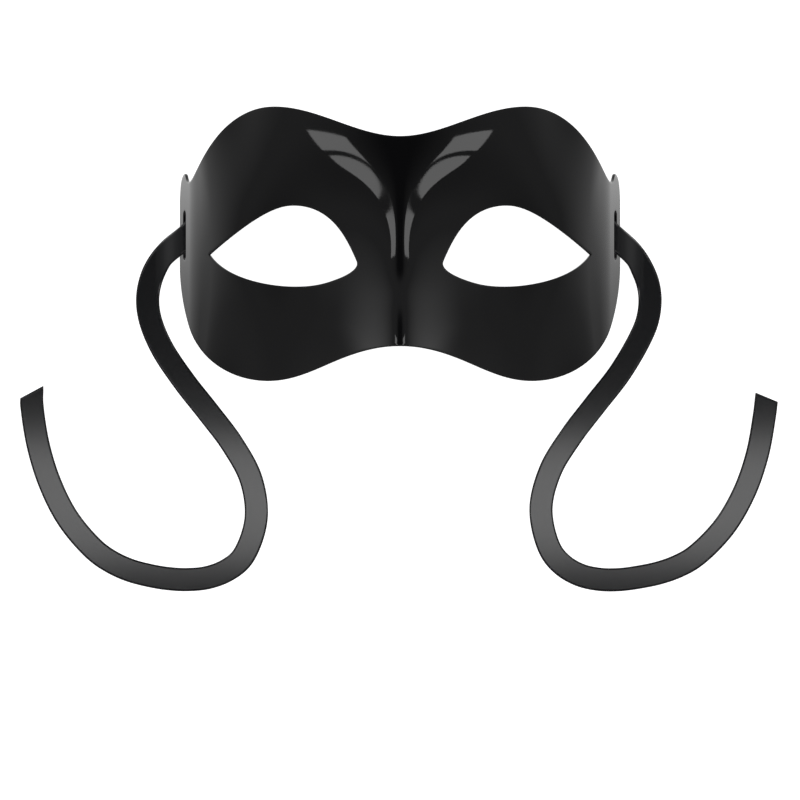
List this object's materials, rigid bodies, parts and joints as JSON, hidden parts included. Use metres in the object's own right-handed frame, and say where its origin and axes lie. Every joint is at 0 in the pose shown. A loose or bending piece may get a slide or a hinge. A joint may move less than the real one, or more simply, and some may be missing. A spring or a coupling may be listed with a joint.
{
  "type": "masquerade mask",
  "caption": "Plain glossy half mask for the eyes and nose bridge, with open eyes and a ribbon tie through a slot at each side.",
  "frame": {"origin": "on the floor under the middle of the shell, which lies face up on the rear edges of its two side lugs; the ribbons aren't counted", "axes": "+X across the face towards the viewer's right, +Y towards the brow, +Z out of the face and up from the floor"},
  "size_m": [0.2924, 0.1839, 0.0663],
  "materials": {
    "gloss_black_plastic": "high gloss moulded plastic",
    "black_satin": "woven satin ribbon"
  },
  "bodies": {
    "root": {"mask_shell": "gloss_black_plastic", "ribbon_left": "black_satin", "ribbon_right": "black_satin"}
  },
  "joints": []
}
